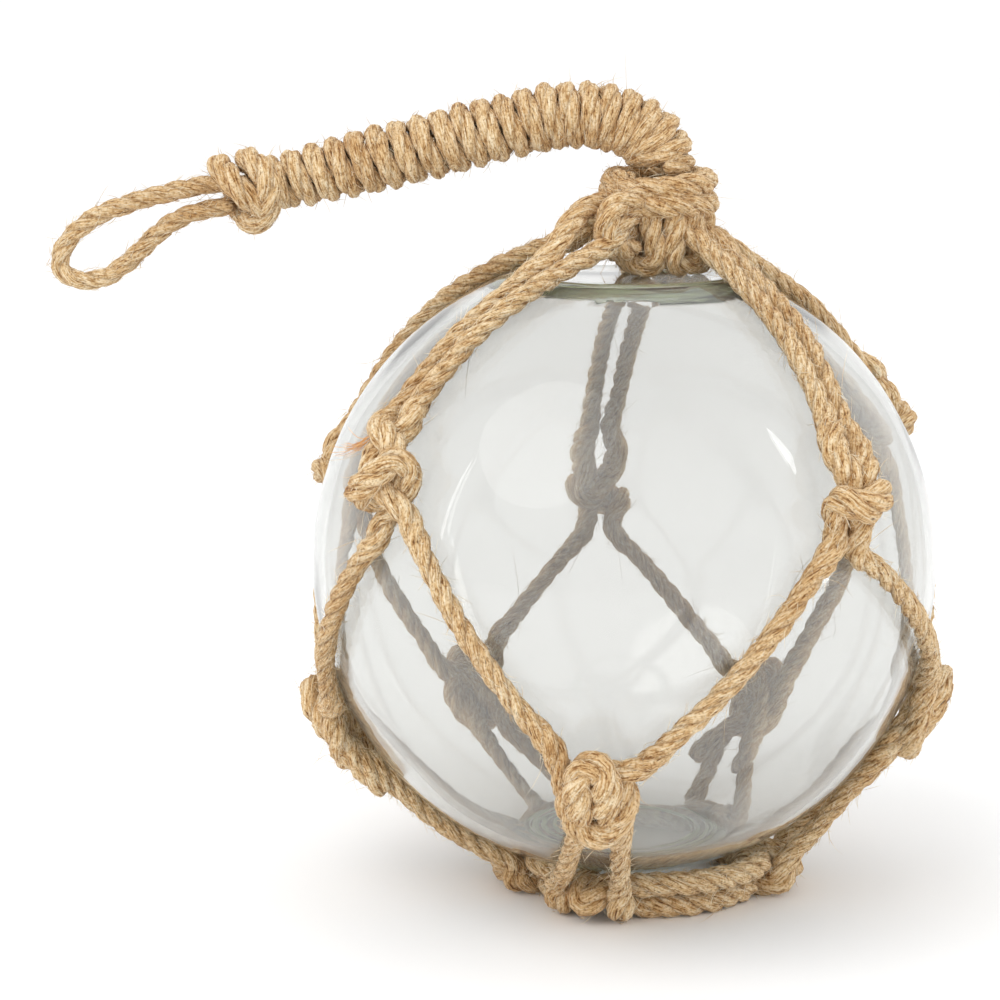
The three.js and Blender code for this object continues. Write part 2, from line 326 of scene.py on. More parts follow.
@dataclass
class Fuzz:
    """The loose hairs that stand off a rope."""

    per_metre: int = 3600
    shortest: float = 1.4 * MM
    longest: float = 6.0 * MM
    length_bias: float = 0.45
    thickness: float = 0.12 * MM
    taper: float = 0.6
    root_share: float = 0.93
    lift: float = 0.42
    slew: float = 0.5
    curl: float = 0.9
    curl_range: tuple[float, float] = (0.2, 1.4)
    long_share: float = 0.008
    long_factor: float = 2.2
    long_curl: float = 1.8
    rows: int = 5
    sides: int = 3

    def tubes(self, line: np.ndarray, radius: float, rng: np.random.Generator) -> Tubes:
        """Grows hairs along a rope.

        Args:
            line: the rope's even line.
            radius: the rope's radius.
            rng: the seeded random source.

        Returns:
            The hairs as tubes.
        """
        heading, first, second = carried_frame(line)
        count = max(4, int(float(steps_of(line).sum()) * self.per_metre))
        at = rng.integers(2, len(line) - 2, count)
        turn = rng.uniform(0, 2 * math.pi, count)
        out = np.cos(turn)[:, None] * first[at] + np.sin(turn)[:, None] * second[at]
        way = rng.choice([-1.0, 1.0], count)[:, None] * heading[at]
        side = np.cross(heading[at], out) * rng.normal(0, self.slew, count)[:, None]
        go = unit(way + side + out * np.abs(rng.normal(0, self.lift, count))[:, None])
        bend = unit(rng.normal(0, 1, (count, 3))) * self.curl * rng.uniform(*self.curl_range, count)[:, None]
        long = self.shortest + (self.longest - self.shortest) * rng.power(self.length_bias, count)
        stray = rng.random(count) < self.long_share
        long = np.where(stray, self.longest * self.long_factor, long)
        bend = np.where(stray[:, None], self.long_curl * bend, bend)
        root = line[at, :3] + out * (radius * line[at, 3] * self.root_share)[:, None]
        t = np.linspace(0, 1, self.rows)[None, :, None]
        core = root[:, None] + long[:, None, None] * (t * go[:, None] + 0.5 * t**2 * bend[:, None])
        core[:, :, 2] = np.maximum(core[:, :, 2], 2 * self.thickness)
        along = unit(np.gradient(core, axis=1))
        one = unit(np.cross(along, HAIR_CROSSWAY))
        two = np.cross(along, one)
        thick = self.thickness * (1 - self.taper * t[0, :, 0])
        points = np.empty((count, self.rows, self.sides + 1, 3))
        for hair in range(count):
            radii = np.repeat(thick[:, None], self.sides + 1, axis=1)
            points[hair] = ring_points(core[hair], one[hair], two[hair], radii, self.sides)
        return Tubes.plain(points)


@dataclass
class Tuft:
    """The frayed end of one yarn, which stands out of a knot as a brush of loose fibres."""

    root: tuple[float, float, float]
    tip: tuple[float, float, float]
    sag: float = 2.0
    count: int = 18
    spread: float = 1.9
    root_spread: float = 0.5
    flare: float = 1.5
    shortest: float = 0.35
    thickness: float = 0.15 * MM
    taper: float = 0.5
    rows: int = 8
    sides: int = 4

    def tubes(self, seat: "KnotSeat", rng: np.random.Generator) -> Tubes:
        """Grows the fibres.

        Args:
            seat: the knot that holds the yarn.
            rng: the seeded random source.

        Returns:
            The fibres as tubes.
        """
        points = np.empty((self.count, self.rows, self.sides + 1, 3))
        share = np.linspace(0, 1, self.rows)
        root, tip = np.array(self.root), np.array(self.tip)
        for fibre in range(self.count):
            reach = rng.uniform(self.shortest, 1.0)
            stray = rng.normal(0, self.spread, 3) * share[:, None] ** self.flare
            start = root + rng.normal(0, self.root_spread, 3)
            way = start + (tip - root) * reach * share[:, None] + stray
            way[:, 1] += self.sag * np.sin(math.pi * share)
            line = np.array([seat.point(*row)[:3] for row in way])
            points[fibre] = thread_points(line, self.thickness * (1 - self.taper * share), self.sides)
        return Tubes.plain(points)


@dataclass
class LaidRope:
    """A right-hand laid jute rope.

    Three strands turn round each other, each with the ridges of its own yarns.
    """

    radius: float = 4.0 * MM
    lay: float = 22.0 * MM
    strands: int = 3
    strand_share: float = 0.605
    sides: int = 14
    step: float = 1.25 * MM
    yarns: int = 6
    yarn_turn: float = 190.0
    ridge: float = 0.04
    roughness: float = 0.035
    fibre_slant: float = 0.45
    fibre_scale: float = 100.0
    fibre_width: float = 0.19
    fibre_range: float = 50.0
    turn_drift: tuple[int, float] = (9, 0.10)
    core_drift: tuple[int, float] = (7, 0.04)
    girth_drift: tuple[int, float] = (5, 0.05)
    fuzz: Fuzz = field(default_factory=Fuzz)

    def tubes(self, line: np.ndarray, rng: np.random.Generator) -> Tubes:
        """Lays the strands along an even line.

        Args:
            line: the rope's even line, with its girth.
            rng: the seeded random source.

        Returns:
            One tube for each strand.
        """
        count = len(line)
        girth = line[:, 3] * self.radius
        along = np.arange(count) * float(np.linalg.norm(line[1, :3] - line[0, :3]))
        _, first, second = carried_frame(line)
        start = rng.uniform(0, 2 * math.pi)
        around = ring_angles(self.sides)
        points, fibre, depth = [], [], []
        for strand in range(self.strands):
            turn = start + 2 * math.pi * (along / self.lay + strand / self.strands)
            turn = turn + wander(rng, count, *self.turn_drift)
            out = np.cos(turn)[:, None] * first + np.sin(turn)[:, None] * second
            off_axis = girth * (1 - self.strand_share) * (1 + wander(rng, count, *self.core_drift))
            core = line[:, :3] + out * off_axis[:, None]
            ahead = unit(np.gradient(core, axis=0))
            side = unit(np.cross(ahead, out))
            face = np.cross(side, ahead)
            full = girth * self.strand_share * (1 + wander(rng, count, *self.girth_drift))
            ridges = self.ridge * np.sin(self.yarns * around[None, :] + (along * self.yarn_turn)[:, None])
            relief = 1 + ridges + rng.normal(0, self.roughness, (count, self.sides + 1))
            points.append(ring_points(core, face, side, full[:, None] * relief, self.sides))
            reach = np.broadcast_to(along[:, None] * self.fibre_scale, relief.shape)
            reach = reach + rng.uniform(0, self.fibre_range)
            slant = self.fibre_slant * along[:, None] * self.fibre_scale
            across = around[None, :] * self.fibre_width - slant + rng.uniform(0, self.fibre_range)
            fibre.append(np.stack([reach, across], axis=-1))
            # Depth: 0 on a strand's outer face, 1 on its inner side; the rope's material paints shade in the
            # grooves from it.
            depth.append(np.broadcast_to(np.abs(around)[None, :] / math.pi, relief.shape))
        return Tubes(np.array(points), np.array(fibre), np.array(depth))

    def bare_mesh(self, name: str, routes: Sequence[Route], seed: int) -> Mesh:
        """Lays the strands along routes as one mesh.

        Args:
            name: the mesh's name.
            routes: the route of each rope in the piece.
            seed: the seed of what is random in it.

        Returns:
            The mesh.
        """
        rng = np.random.default_rng(seed)
        lines = [smooth_line(route, self.step) for route in routes]
        return joined(name, [[self.tubes(line, rng).wrapped(name) for line in lines]])

    def fuzz_mesh(self, name: str, routes: Sequence[Route], seed: int) -> Mesh:
        """Grows the hairs along routes as one mesh.

        Args:
            name: the mesh's name.
            routes: the route of each rope in the piece.
            seed: the seed of what is random in it.

        Returns:
            The mesh.
        """
        rng = np.random.default_rng(seed)
        lines = [smooth_line(route, self.step) for route in routes]
        return joined(name, [[self.fuzz.tubes(line, self.radius, rng).wrapped(name) for line in lines]])

    def mesh(self, name: str, routes: Sequence[Route], seed: int, tufts: Sequence[Mesh] = ()) -> Mesh:
        """Lays rope along routes, with its hairs.

        Args:
            name: the piece's name.
            routes: the route of each rope in the piece.
            seed: the seed of what is random in it.
            tufts: meshes to join to it, which are used up.

        Returns:
            The mesh, with strands on material 0, hairs on material 1 and tufts on those after it.
        """
        bare = self.bare_mesh(name, routes, seed)
        hairs = self.fuzz_mesh(name, routes, seed + HAIR_SEED)
        return joined(name, [[bare], [hairs], *([tuft] for tuft in tufts)])


# ---------------------------------------------------------------- finishes


def linear(red: int, green: int, blue: int) -> tuple[float, float, float, float]:
    """Returns a display colour of 0 to 255 as the linear colour that a shader takes."""

    def channel(value: int) -> float:
        """Returns one channel in linear light."""
        share = value / 255
        return share / 12.92 if share <= 0.04045 else ((share + 0.055) / 1.055) ** 2.4

    return (channel(red), channel(green), channel(blue), 1.0)


class NodeBoard:
    """A material's node tree, with short ways to add and join nodes."""

    def __init__(self, name: str) -> None:
        """Starts an empty material with an output."""
        self.material = bpy.data.materials.new(name)
        self.material.use_nodes = True
        self.tree = self.material.node_tree
        self.tree.nodes.clear()
        self.output = self.add("ShaderNodeOutputMaterial")

    def add(
        self, kind: str, inputs: dict[str | int, object] | None = None, **settings: object
    ) -> bpy.types.Node:
        """Adds a node.

        Args:
            kind: the node's type.
            inputs: values, or other nodes' outputs, for its sockets.
            settings: its own properties.

        Returns:
            The node.
        """
        node = self.tree.nodes.new(kind)
        for key, value in settings.items():
            setattr(node, key, value)
        for key, value in (inputs or {}).items():
            socket = node.inputs[key]
            if isinstance(value, Socket):
                self.tree.links.new(value, socket)
            else:
                socket.default_value = value
        return node

    def ramp(self, factor: Socket, stops: Sequence[tuple[float, tuple]]) -> Socket:
        """Adds a colour ramp through (place, colour) stops, and returns its colour."""
        node = self.add("ShaderNodeValToRGB", {"Fac": factor})
        elements = node.color_ramp.elements
        elements[0].position, elements[0].color = stops[0]
        elements[-1].position, elements[-1].color = stops[-1]
        for place, colour in stops[1:-1]:
            elements.new(place).color = colour
        return node.outputs["Color"]

    def mixed(self, factor: object, one: object, two: object, blend: str = "MIX") -> Socket:
        """Mixes two colours, and returns the result."""
        inputs = {0: factor, 6: one, 7: two}
        return self.add("ShaderNodeMix", inputs, data_type="RGBA", blend_type=blend).outputs[2]

    def ranged(self, value: Socket, low: float, high: float, most: float) -> Socket:
        """Maps a value between two bounds to 0 and the most, and returns the result."""
        return self.add("ShaderNodeMapRange", {0: value, 1: low, 2: high, 3: 0.0, 4: most}).outputs[0]

    def summed(self, one: Socket, two: Socket) -> Socket:
        """Adds two values, and returns the sum."""
        return self.add("ShaderNodeMath", {0: one, 1: two}, operation="ADD").outputs[0]

    def noise(self, place: Socket, scale: float, detail: float = 2.0, roughness: float = 0.5) -> Socket:
        """Adds a noise texture, and returns its value."""
        inputs = {"Vector": place, "Scale": scale, "Detail": detail, "Roughness": roughness}
        return self.add("ShaderNodeTexNoise", inputs).outputs["Fac"]

    def drawn_noise(self, place: Socket, scale: tuple, detail: float, roughness: float = 0.5) -> Socket:
        """Adds noise drawn out by a scale for each axis, and returns its value."""
        drawn = self.add("ShaderNodeMapping", {"Vector": place, "Scale": scale}).outputs[0]
        return self.noise(drawn, 1.0, detail, roughness)

    def surfaced(self, inputs: dict[str | int, object]) -> bpy.types.Material:
        """Gives the material a surface with these inputs, and returns the material."""
        shader = self.add("ShaderNodeBsdfPrincipled", inputs)
        self.tree.links.new(shader.outputs[0], self.output.inputs["Surface"])
        return self.material


@dataclass(frozen=True)
class JuteFinish:
    """Jute fibre: fine pale and brown streaks that follow the yarns, with painted shade darkening the
    grooves between the strands.
    """

    name: str = "jute_rope"
    pale: tuple = linear(252, 238, 211)
    straw: tuple = linear(232, 204, 160)
    tan: tuple = linear(198, 158, 107)
    brown: tuple = linear(116, 79, 43)
    bark: tuple = linear(90, 60, 34)
    clouded: tuple = linear(226, 206, 178)
    unclouded: tuple = linear(255, 252, 246)
    cloud_scale: float = 38.0
    cloud_share: float = 0.75
    speck: tuple = linear(180, 154, 120)
    speck_edge: tuple = linear(243, 238, 229)
    speck_scale: float = 1300.0
    speck_share: float = 0.7
    fine_scale: tuple = (4.2, 25.0, 1.0)
    coarse_scale: tuple = (2.0, 9.0, 1.0)
    coarse_share: float = 0.42
    fleck_scale: tuple = (3.4, 15.0, 1.0)
    fleck_range: tuple = (0.64, 0.76, 0.9)
    groove_shade_range: tuple = (0.33, 0.62, 0.75)
    streak_roughness: float = 0.6
    roughness: float = 0.85
    shine: float = 0.25
    sheen: float = 0.12
    bump: float = 1.0
    bump_depth: float = 0.6 * MM

    def make(self) -> bpy.types.Material:
        """Builds the material."""
        board = NodeBoard(self.name)
        fibre = board.add("ShaderNodeUVMap", uv_map=FIBRE_MAP).outputs["UV"]
        place = board.add("ShaderNodeTexCoord").outputs["Object"]
        fine = board.drawn_noise(fibre, self.fine_scale, 3.0, self.streak_roughness)
        coarse = board.drawn_noise(fibre, self.coarse_scale, 2.0, self.streak_roughness)
        blend = {0: self.coarse_share, 2: fine, 3: coarse}
        streak = board.add("ShaderNodeMix", blend, data_type="FLOAT").outputs[0]
        stops = [(0.36, self.brown), (0.43, self.tan), (0.50, self.straw), (0.60, self.pale)]
        colour = board.ramp(streak, stops)
        flecks = board.drawn_noise(fibre, self.fleck_scale, 2.0, self.streak_roughness)
        colour = board.mixed(board.ranged(flecks, *self.fleck_range), colour, self.bark)
        cloud = board.noise(place, self.cloud_scale, 3.0)
        tone = board.ramp(cloud, [(0.30, self.clouded), (0.62, self.unclouded)])
        colour = board.mixed(self.cloud_share, colour, tone, "MULTIPLY")
        specks = board.noise(place, self.speck_scale)
        speck = board.ramp(specks, [(0.34, self.speck), (0.46, self.speck_edge), (0.60, WHITE)])
        colour = board.mixed(self.speck_share, colour, speck, "MULTIPLY")
        depth = board.add("ShaderNodeAttribute", attribute_name=DEPTH_LAYER).outputs["Fac"]
        # Painted shade: brown darkens each strand towards its inner side, in the grooves where the strands
        # meet.
        colour = board.mixed(board.ranged(depth, *self.groove_shade_range), colour, self.brown)
        relief = board.summed(board.summed(fine, coarse), specks)
        bumps = {"Strength": self.bump, "Distance": self.bump_depth, "Height": relief}
        return board.surfaced(
            {
                "Base Color": colour,
                "Roughness": self.roughness,
                "Specular IOR Level": self.shine,
                "Sheen Weight": self.sheen,
                "Sheen Roughness": 0.5,
                "Normal": board.add("ShaderNodeBump", bumps).outputs["Normal"],
            }
        )


@dataclass(frozen=True)
class HairFinish:
    """The loose pale hairs on the rope."""

    name: str = "jute_hair"
    light: tuple = linear(246, 234, 208)
    dark: tuple = linear(206, 172, 124)
    cloud_scale: float = 160.0
    roughness: float = 0.6

    def make(self) -> bpy.types.Material:
        """Builds the material."""
        board = NodeBoard(self.name)
        place = board.add("ShaderNodeTexCoord").outputs["Object"]
        cloud = board.noise(place, self.cloud_scale)
        colour = board.ramp(cloud, [(0.35, self.dark), (0.6, self.light)])
        return board.surfaced({"Base Color": colour, "Roughness": self.roughness})


@dataclass(frozen=True)
class GlassFinish:
    """Clear blown glass, faintly green where it is thick."""

    name: str = "clear_glass"
    ior: float = 1.5
    clarity: tuple = (0.868, 0.867, 0.860, 1.0)
    shine: float = 0.5
    clear_share: float = 0.945
    tint: tuple = (0.60, 0.78, 0.42, 1.0)
    tint_density: float = 6.0

    def make(self) -> bpy.types.Material:
        """Builds the material."""
        board = NodeBoard(self.name)
        volume = board.add("ShaderNodeVolumeAbsorption", {"Color": self.tint, "Density": self.tint_density})
        board.tree.links.new(volume.outputs[0], board.output.inputs["Volume"])
        return board.surfaced(
            {
                "Base Color": self.clarity,
                "Roughness": 0.0,
                "IOR": self.ior,
                "Specular IOR Level": self.shine,
                "Transmission Weight": self.clear_share,
            }
        )


@dataclass(frozen=True)
class WispFinish:
    """The milky green of the streaks in the thick glass."""

    name: str = "glass_streaks"
    pale: tuple = linear(252, 253, 244)
    green: tuple = linear(226, 240, 196)
    olive: tuple = linear(136, 122, 76)
    drawn: tuple = (26.0, 26.0, 1900.0)
    roughness: float = 0.4

    def make(self) -> bpy.types.Material:
        """Builds the material."""
        board = NodeBoard(self.name)
        place = board.add("ShaderNodeTexCoord").outputs["Object"]
        stops = [(0.37, self.olive), (0.43, self.green), (0.54, self.green), (0.60, self.pale)]
        colour = board.ramp(board.drawn_noise(place, self.drawn, 2.0), stops)
        return board.surfaced({"Base Color": colour, "Roughness": self.roughness})


@dataclass(frozen=True)
class StageFinish:
    """The plain pale floor."""

    name: str = "pale_floor"
    colour: tuple = (0.99, 0.99, 0.99, 1.0)
    roughness: float = 0.9

    def make(self) -> bpy.types.Material:
        """Builds the material."""
        return NodeBoard(self.name).surfaced({"Base Color": self.colour, "Roughness": self.roughness})


def shown(mesh: Mesh, finishes: Finishes) -> bpy.types.Object:
    """Puts a mesh in the scene as a piece.

    Args:
        mesh: the piece's mesh.
        finishes: its materials, in slot order.

    Returns:
        The object, at the origin.
    """
    for finish in finishes:
        mesh.materials.append(finish)
    piece = bpy.data.objects.new(mesh.name, mesh)
    bpy.context.scene.collection.objects.link(piece)
    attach(piece, BODY)
    LOG.info("%s: %d faces", piece.name, len(mesh.polygons))
    return piece


# ---------------------------------------------------------------- the ball as a former


@dataclass
class Former:
    """The ball that the net is laid on: its centre, its radius and where rope lies on it."""

    centre: np.ndarray
    radius: float
    rope_radius: float = 4.0 * MM
    leg_girth: float = 0.8125
    gap: float = 0.3 * MM

    @classmethod
    def from_frame(cls, radius: float, base_radius: float) -> "Former":
        """Finds the ball in the frame.

        Args:
            radius: the ball's radius.
            base_radius: the radius of its flat base.

        Returns:
            The former.
        """
        low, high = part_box("glass_ball")
        height = low[2] + math.sqrt(radius**2 - base_radius**2)
        return cls(np.array([(low[0] + high[0]) / 2, (low[1] + high[1]) / 2, height]), radius)

    @property
    def laid(self) -> float:
        """The distance from the ball's centre to the middle of a rope that lies on it in a knot."""
        return self.radius + self.gap + self.rope_radius

    @property
    def pulled(self) -> float:
        """The distance from the ball's centre to the middle of a rope pulled thin between knots."""
        return self.radius + self.gap + self.rope_radius * self.leg_girth

    def taut_way(self, start: np.ndarray, end: np.ndarray, spacing: float = 14 * MM) -> Rows:
        """Pulls a rope tight between two points, round the ball where it is in the way.

        Args:
            start: the first point.
            end: the last point.
            spacing: the distance between the points given back.

        Returns:
            Rows of x, y, z and girth between the two points, without them.
        """
        one, two = start[:3] - self.centre, end[:3] - self.centre
        axis = unit(np.cross(one, two))
        sweep = math.acos(float(np.dot(unit(one), unit(two))))
        free_start = math.acos(min(1.0, self.pulled / float(np.linalg.norm(one))))
        free_end = math.acos(min(1.0, self.pulled / float(np.linalg.norm(two))))
        count = max(2, round(sweep * self.laid / spacing))
        way = []
        for index in range(1, count):
            angle = sweep * index / count
            off_ball = max(0.0, free_start - angle, angle - sweep + free_end)
            reach = self.pulled / math.cos(off_ball)
            way.append([*(self.centre + turned(unit(one), axis, angle) * reach), self.leg_girth])
        return way


@dataclass
class KnotSeat:
    """Where a knot sits on the ball: out of the ball, down along the knot and across to its right."""

    former: Former
    node: str
    lean: float = 0.0
    flatness: float = 1.0
    breadth: float = 1.0

    def __post_init__(self) -> None:
        """Works out the knot's directions from its node in the frame."""
        self.out = unit(middle_of(self.node) - self.former.centre)
        meridian = unit(self.out * self.out[2] - np.array([0.0, 0.0, 1.0]))
        self.down = turned(meridian, self.out, math.radians(-self.lean))
        self.across = np.cross(self.out, self.down)

    def point(self, across: float, along: float, height: float = 0.0, girth: float = 1.0) -> list[float]:
        """Returns a rope point near the knot.

        Args:
            across: millimetres to the knot's right.
            along: millimetres down from its middle.
            height: millimetres above a rope that lies on the glass, in a knot that isn't pulled flat.
            girth: the rope's thickness there, 1 being its own.

        Returns:
            A row of x, y, z and girth.
        """
        way = self.out * self.former.laid + (self.down * along + self.across * across * self.breadth) * MM
        return [*(self.former.centre + unit(way) * (self.former.laid + height * self.flatness * MM)), girth]

    def route(self, points: Sequence[Sequence[float]]) -> Rows:
        """Returns the rope points for rows of across, along, height and girth."""
        return [self.point(*row) for row in points]


# ---------------------------------------------------------------- the glass


@dataclass
class GlassBall:
    """The hollow blown ball: one wall, a thick sealed top and a thick flat base."""

    radius: float = 100.0 * MM
    top_radius: float = 37.6 * MM
    base_radius: float = 26.0 * MM
    wall: float = 3.6 * MM
    top_thickness: float = 5.0 * MM
    base_thickness: float = 7.5 * MM
    rim_round: float = 2.6 * MM
    sectors: int = 144
    bands: int = 72
    flat_steps: int = 8
    rim_steps: int = 5
    wave: float = 0.35 * MM
    wave_size: float = 34.0 * MM
    wave_start: tuple[float, float, float] = (3.1, 7.7, 1.9)
    outer_wave_share: float = 0.25

    @property
    def top(self) -> float:
        """The height of the flat top above the ball's centre."""
        return math.sqrt(self.radius**2 - self.top_radius**2)

    @property
    def base(self) -> float:
        """The height of the flat base above the ball's centre, below 0."""
        return -math.sqrt(self.radius**2 - self.base_radius**2)

    def former(self) -> Former:
        """Finds the ball's place in the frame."""
        return Former.from_frame(self.radius, self.base_radius)

    def wisps(self) -> list["Wisps"]:
        """Returns the streaks in the ball's thick top and base."""
        edge = 1.0 * MM
        return [
            Wisps(
                "top_streaks",
                (self.top_radius - 7 * MM, self.top_radius - 1.6 * MM),
                (self.top - self.top_thickness + edge, self.top - edge),
                44,
            ),
            Wisps(
                "base_streaks",
                (self.base_radius - 4 * MM, self.base_radius + 6 * MM),
                (self.base + 3.2 * MM, self.base + self.base_thickness - edge),
                30,
                seed=92,
            ),
        ]

    def shell(self, bm: Drawing, radius: float, low: float, high: float, rim: float) -> list:
        """Spins a ball cut flat at two heights.

        Args:
            bm: where the shell goes.
            radius: the ball's radius.
            low: the height of the lower cut above the ball's centre.
            high: the height of the upper cut.
            rim: the rounding of the cuts' edges.

        Returns:
            The shell's vertices.
        """
        before = set(bm.verts)
        first, last = math.asin(low / radius), math.asin(high / radius)
        angles = np.linspace(first, last, self.bands + 1)
        outline = [(radius * math.cos(a), radius * math.sin(a)) for a in angles]
        flat = self.flat_steps
        foot = [(outline[0][0] * index / flat, low) for index in range(flat)]
        head = [(outline[-1][0] * index / flat, high) for index in reversed(range(flat))]
        chain = [bm.verts.new((x, 0.0, z)) for x, z in [*foot, *outline, *head]]
        edges = [bm.edges.new(pair) for pair in zip(chain, chain[1:])]
        bmesh.ops.spin(
            bm,
            geom=[*chain, *edges],
            cent=(0, 0, 0),
            axis=(0, 0, 1),
            angle=2 * math.pi,
            steps=self.sectors,
            use_merge=True,
        )
        shell = [vert for vert in bm.verts if vert not in before]
        bmesh.ops.remove_doubles(bm, verts=shell, dist=SAME_PLACE)

        def on_rim(vert: bmesh.types.BMVert) -> bool:
            """Says whether a vertex lies on the edge of a cut."""
            level = min(abs(vert.co.z - cut) for cut in (low, high)) < SAME_HEIGHT
            return level and abs(vert.co.xy.length - math.sqrt(radius**2 - vert.co.z**2)) < SAME_PLACE

        corner = [
            edge for edge in bm.edges if edge.verts[0] not in before and all(map(on_rim, edge.verts))
        ]
        bmesh.ops.bevel(
            bm,
            geom=corner,
            offset=rim,
            affect="EDGES",
            segments=self.rim_steps,
            profile=0.5,
            material=-1,
            clamp_overlap=True,
        )
        return [vert for vert in bm.verts if vert not in before]

    def build(self, former: Former, finish: bpy.types.Material) -> bpy.types.Object:
        """Makes the ball.

        Args:
            former: the ball's place.
            finish: the glass.

        Returns:
            The piece.
        """
        bm = bmesh.new()
        self.shell(bm, self.radius, self.base, self.top, self.rim_round)
        bmesh.ops.recalc_face_normals(bm, faces=bm.faces)
        outer = set(bm.faces)
        floor, roof = self.base + self.base_thickness, self.top - self.top_thickness
        inner = set(self.shell(bm, self.radius - self.wall, floor, roof, 2 * self.rim_round))
        cavity = [face for face in bm.faces if face not in outer]
        bmesh.ops.recalc_face_normals(bm, faces=cavity)
        bmesh.ops.reverse_faces(bm, faces=cavity)
        for vert in bm.verts:
            share = 1.0 if vert in inner else self.outer_wave_share
            swell = noise.noise(vert.co / self.wave_size + Vector(self.wave_start))
            vert.co *= 1 + share * self.wave * swell / self.radius
        bmesh.ops.translate(bm, verts=bm.verts, vec=Vector(former.centre))
        for face in bm.faces:
            face.smooth = True
        piece = shown(as_mesh("glass_float", bm), [finish])
        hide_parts("glass_ball")
        return piece


@dataclass
class Wisps:
    """Streaks drawn out round the ball inside its thick glass, between two radii and two heights."""

    name: str
    reach: tuple[float, float]
    height: tuple[float, float]
    count: int
    thick: tuple[float, float] = (0.35 * MM, 1.0 * MM)
    arc: tuple[float, float] = (40.0, 150.0)
    drift: tuple[int, float] = (9, 0.3 * MM)
    rows: int = 40
    sides: int = 6
    seed: int = 91

    def build(self, former: Former, finish: bpy.types.Material) -> bpy.types.Object:
        """Draws the streaks.

        Args:
            former: the ball's place.
            finish: the streaks' glass.

        Returns:
            The piece.
        """
        rng = np.random.default_rng(self.seed)
        points = np.empty((self.count, self.rows, self.sides + 1, 3))
        share = np.linspace(0, 1, self.rows)
        for wisp in range(self.count):
            turn = np.radians(rng.uniform(0, 360) + rng.uniform(*self.arc) * share)
            reach = rng.uniform(*self.reach) + wander(rng, self.rows, *self.drift)
            height = rng.uniform(*self.height) + wander(rng, self.rows, *self.drift)
            reach, height = np.clip(reach, *self.reach), np.clip(height, *self.height)
            line = np.stack([reach * np.cos(turn), reach * np.sin(turn), height], axis=1) + former.centre
            thick = rng.uniform(*self.thick) * np.sqrt(np.sin(math.pi * share).clip(0.0))
            points[wisp] = thread_points(line, thick, self.sides)
        return shown(joined(self.name, [[Tubes.plain(points).wrapped(self.name)]]), [finish])


# ---------------------------------------------------------------- the net


class KnotStyle(Enum):
    """The two ways that an upper knot's pair of ropes lies above its band."""

    STRAIGHT = "straight"
    CROSSED = "crossed"


# Rope points at a knot, as across, along, height and girth. The band rope makes the turn round the
# other one, and both come in above and leave below on their own sides.
BAND_ROPE = {
    KnotStyle.STRAIGHT: [
        (-4.2, -17.4, 0, 1), (-5.8, -13, 1.6, 1.08), (-6.4, -7, 3.4, 1.15), (-4.4, -1.5, 5.6, 1.15),
        (-1, 4, 4.4, 1), (3, 8.2, 0.9, 0.86), (6.6, 7, 1, 0.9), (8.6, 3.4, 4.4, 1.05),
        (6.6, 4.6, 8.6, 1.15), (2.2, 8.2, 9.8, 1.25), (-3, 9.4, 9.6, 1.28), (-7.2, 8, 7.6, 1.2),
        (-8.6, 7.6, 4.2, 1.05), (-7, 11.8, 1.6, 1), (-5, 15.4, 0.4, 1), (-5.6, 19, 0, 1),
    ],
    KnotStyle.CROSSED: [
        (-4.2, -17.4, 0, 1), (-4.8, -13, 3, 1.06), (-0.6, -8, 6.6, 1.12), (3.8, -3, 6.4, 1.1),
        (4.4, 3, 4.4, 0.95), (1, 8.4, 1, 0.86), (-5, 10.8, 0.8, 0.86), (-8.4, 9.6, 4, 1),
        (-7, 8.8, 8.2, 1.06), (-2.4, 7.8, 10, 1.12), (2.6, 5.6, 10, 1.12), (6.8, 2.4, 8.2, 1.04),
        (8.4, 3.2, 4, 0.95), (6.4, 8.6, 0.6, 0.86), (0, 13, 0, 0.86), (-4.8, 16.4, 0, 0.94),
        (-6, 19, 0, 1),
    ],
}
HELD_ROPE = {
    KnotStyle.STRAIGHT: [
        (4.2, -17.4, 0, 1), (5.6, -13, 1.4, 1.08), (5.8, -7, 3.4, 1.15), (4.4, -1, 4.8, 1.15),
        (3.4, 6, 5, 1.04), (3.6, 11.6, 4, 1.04), (4.6, 15.6, 1.8, 1), (5.6, 19, 0, 1),
    ],
    KnotStyle.CROSSED: [
        (4.2, -17.4, 0, 1), (4.4, -13, 1, 1.04), (0.6, -8, 1.2, 1), (-4.2, -3, 4.4, 1.1),
        (-4.4, 3, 5.4, 1.04), (0, 8.6, 5, 0.95), (3.8, 13, 3.6, 0.95), (5.6, 16.2, 1.4, 0.98),
        (6, 19, 0, 1),
    ],
}
# A lower knot: the left rope comes in above and makes the band, and the right one comes in from the
# side and makes the bight that stands over it.
LEFT_ROPE = [
    (-13, -14.5, 0, 1), (-10.6, -9.5, 1.2, 1), (-9, -4, 3, 1), (-7.8, 2, 5.4, 1.04),
    (-5.6, 7.6, 7.8, 1.08), (-2, 10.4, 9.2, 1.12), (2.6, 10, 9.2, 1.12), (6.8, 5.6, 7.8, 1.06),
    (8.6, -1.4, 5, 1), (7, -6.6, 1.2, 0.9), (2, -7.5, 0, 0.86), (-2.4, -2, 0, 0.86),
    (-4.2, 6, 0.2, 0.9), (-5.6, 13, 0.4, 1), (-6, 17.4, 0, 1),
]
RIGHT_ROPE = [
    (13, -8, 0, 1), (9, -7.4, 2, 1), (5, -6, 2, 0.9), (0, -3, 1.8, 0.86),
    (-3, 3, 2.4, 0.9), (-3.6, 7, 4.6, 0.95), (-4, 3.6, 7.2, 1.08), (-4.3, -2, 8.4, 1.18),
    (-4.3, -8.4, 8.4, 1.2), (-2.8, -13, 7.2, 1.12), (1.2, -13.6, 7.2, 1.12), (3.4, -8.4, 8.4, 1.2),
    (3.2, -2, 8.2, 1.18), (3, 4, 6.8, 1.04), (4.6, 10.6, 4, 1.02), (6.4, 17.4, 0, 1),
]
